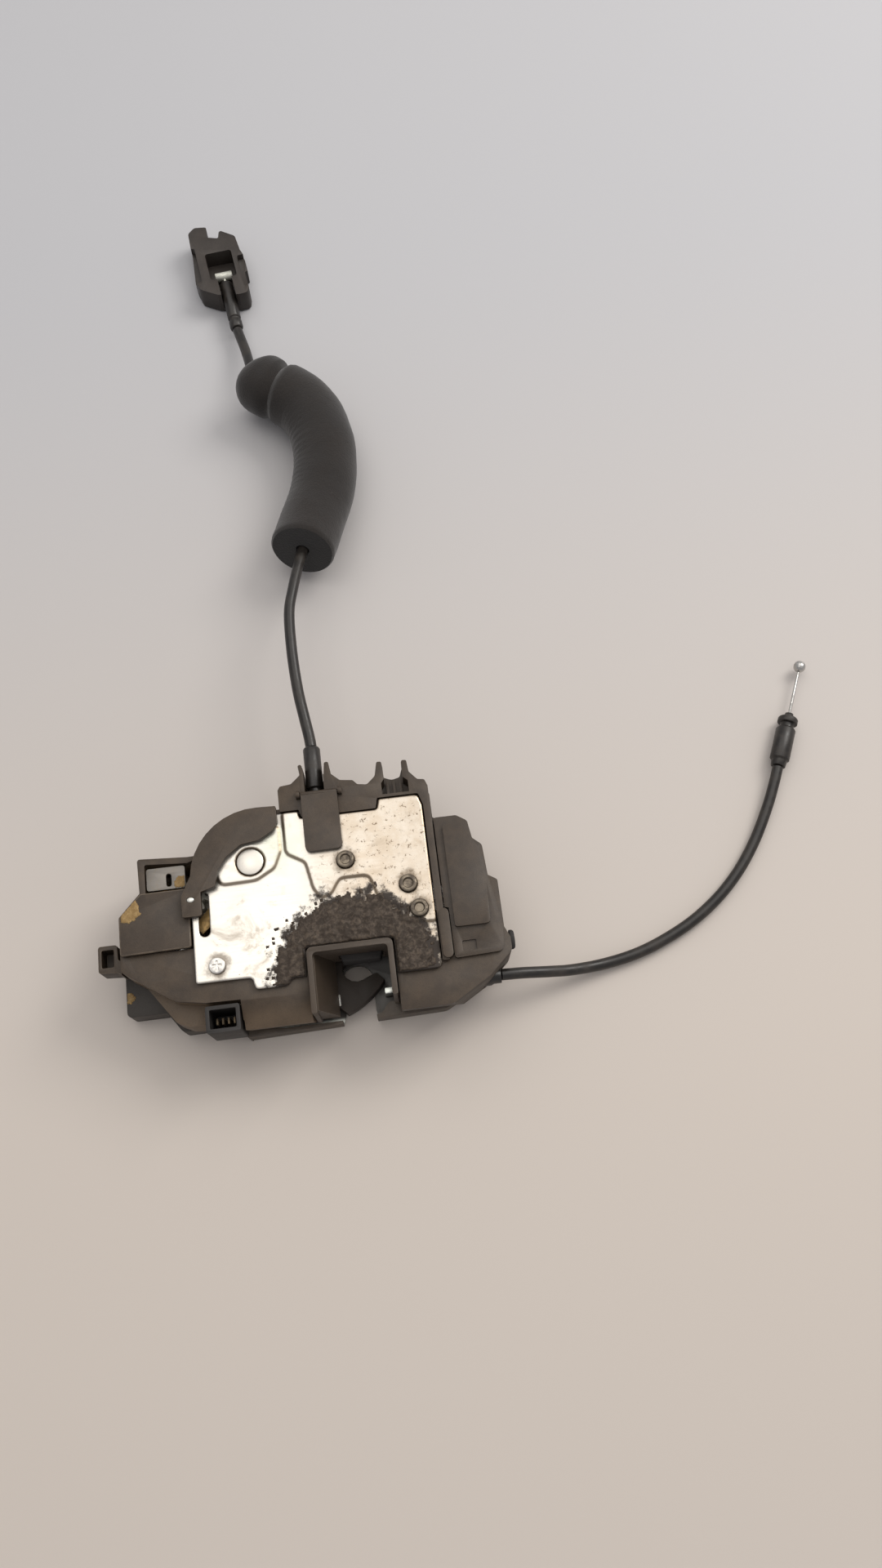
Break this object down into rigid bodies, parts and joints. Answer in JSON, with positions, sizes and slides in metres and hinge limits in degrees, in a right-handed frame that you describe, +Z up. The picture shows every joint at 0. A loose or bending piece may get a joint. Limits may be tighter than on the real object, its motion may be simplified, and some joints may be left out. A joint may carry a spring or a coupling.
{
  "type": "vehicle door latch",
  "caption": "Vehicle door latch with striker mouth, claw and pawl, electric lock actuator, zinc plated back plate, and two Bowden cables ending in a handle clip and a ball nipple.",
  "frame": {"origin": "under the middle of the latch body, on the surface that the face plate lies on, cables left out", "axes": "+X along the body's length, +Y away from the striker mouth, +Z up from the face plate to the back plate"},
  "size_m": [0.2919, 0.3804, 0.0374],
  "materials": {
    "case": "dusty black moulded plastic",
    "cover": "dusty black moulded plastic, lighter",
    "zinc": "zinc plated steel, smudged",
    "yellow": "yellow chromate steel",
    "steel": "bare steel",
    "coated": "black plastic coat",
    "spring": "oiled spring wire",
    "rubber": "matte",
    "foam": "matte foam",
    "conduit": "satin black",
    "gear": "natural acetal",
    "brass": "plain",
    "board": "lacquered board"
  },
  "bodies": {
    "latch_body": {"lower_case": "case", "upper_case": "case", "cable_bracket": "case", "arch_cover": "case", "connector_shroud": "case", "harness_clip": "case", "handle_clip": "case", "motor_cover": "cover", "switch_cover": "cover", "mouth_frame": "cover", "face_plate": "zinc", "back_plate": "zinc", "pawl_pin": "zinc", "release_pin": "zinc", "inside_lever_pin": "zinc", "lock_pin": "zinc", "plate_screw": "zinc", "pocket_plate": "zinc", "claw_pin": "steel", "gear_pin": "steel", "motor": "steel", "micro_switch": "coated", "claw_spring": "spring", "pawl_spring": "spring", "inside_lever_spring": "spring", "striker_bumper": "rubber", "side_plug": "rubber", "foam_sleeve": "foam", "inside_cable_ferrule": "conduit", "inside_cable": "conduit", "clip_ferrule": "conduit", "outside_cable_gland": "conduit", "outside_cable": "conduit", "outside_ferrule": "conduit", "terminal_1": "brass", "terminal_2": "brass", "terminal_3": "brass", "terminal_4": "brass", "switch_board": "board"},
    "claw": {"claw": "coated"},
    "pawl": {"pawl": "steel"},
    "release_lever": {"release_lever": "zinc"},
    "inside_lever": {"inside_lever": "zinc"},
    "lock_lever": {"lock_lever": "yellow"},
    "worm_wheel": {"worm_wheel": "gear"},
    "motor_worm": {"motor_worm": "brass"},
    "cable_flap": {"cable_flap": "cover"},
    "outside_wire": {"outside_wire": "steel", "ball_nipple": "steel"},
    "clip_nipple": {"clip_nipple": "steel"}
  },
  "joints": [
    {"name": "claw_turn", "type": "hinge", "parent": "latch_body", "child": "claw", "pos_m": [0, -0.012, 0.006], "axis": [0, 0, -1], "range_deg": [0, 50], "deforming": ["claw_spring"]},
    {"name": "pawl_turn", "type": "hinge", "parent": "latch_body", "child": "pawl", "pos_m": [0.0425, -0.0118, 0.006], "axis": [0, 0, -1], "range_deg": [-10.8, 5], "deforming": ["pawl_spring"]},
    {"name": "release_lever_turn", "type": "hinge", "parent": "latch_body", "child": "release_lever", "pos_m": [0.0395, -0.0021, 0.0155], "axis": [0, 0, -1], "range_deg": [-13, 6.1]},
    {"name": "outside_wire_pull", "type": "slide", "parent": "latch_body", "child": "outside_wire", "axis": [0.3987, 0.9171, 0], "range_m": [-0.004, 0.002]},
    {"name": "inside_lever_turn", "type": "hinge", "parent": "latch_body", "child": "inside_lever", "pos_m": [0.0174, 0.0098, 0.0289], "axis": [0, 0, -1], "range_deg": [0, 24.1], "deforming": ["inside_lever_spring"]},
    {"name": "clip_nipple_pull", "type": "slide", "parent": "latch_body", "child": "clip_nipple", "axis": [-0.1305, 0.9914, 0], "range_m": [0, 0.0052]},
    {"name": "lock_lever_turn", "type": "hinge", "parent": "latch_body", "child": "lock_lever", "pos_m": [-0.0178, 0.0134, 0.0274], "axis": [0, 0, 1], "range_deg": [0, 18.1]},
    {"name": "worm_wheel_turn", "type": "hinge", "parent": "latch_body", "child": "worm_wheel", "pos_m": [-0.03925, 0.00476, 0.0205], "axis": [0, 0, 1], "range_deg": [-65.5, 0]},
    {"name": "motor_worm_turn", "type": "hinge", "parent": "latch_body", "child": "motor_worm", "pos_m": [-0.052, 0.00476, 0.0205], "axis": [0, 1, 0], "range_deg": [-913.5, 0]},
    {"name": "flap_open", "type": "hinge", "parent": "latch_body", "child": "cable_flap", "pos_m": [0.01005, 0.0366, 0.0357], "axis": [-1, 0, 0], "range_deg": [0, 100]}
  ],
  "couplings": [
    {"joint": "release_lever_turn", "follows": "pawl_turn", "ratio": 1.19},
    {"joint": "outside_wire_pull", "follows": "pawl_turn", "m_per_rad": 0.01963},
    {"joint": "inside_lever_turn", "follows": "clip_nipple_pull", "rad_per_m": 80.645},
    {"joint": "worm_wheel_turn", "follows": "motor_worm_turn", "ratio": 0.071429},
    {"joint": "lock_lever_turn", "follows": "motor_worm_turn", "ratio": -0.019704}
  ]
}
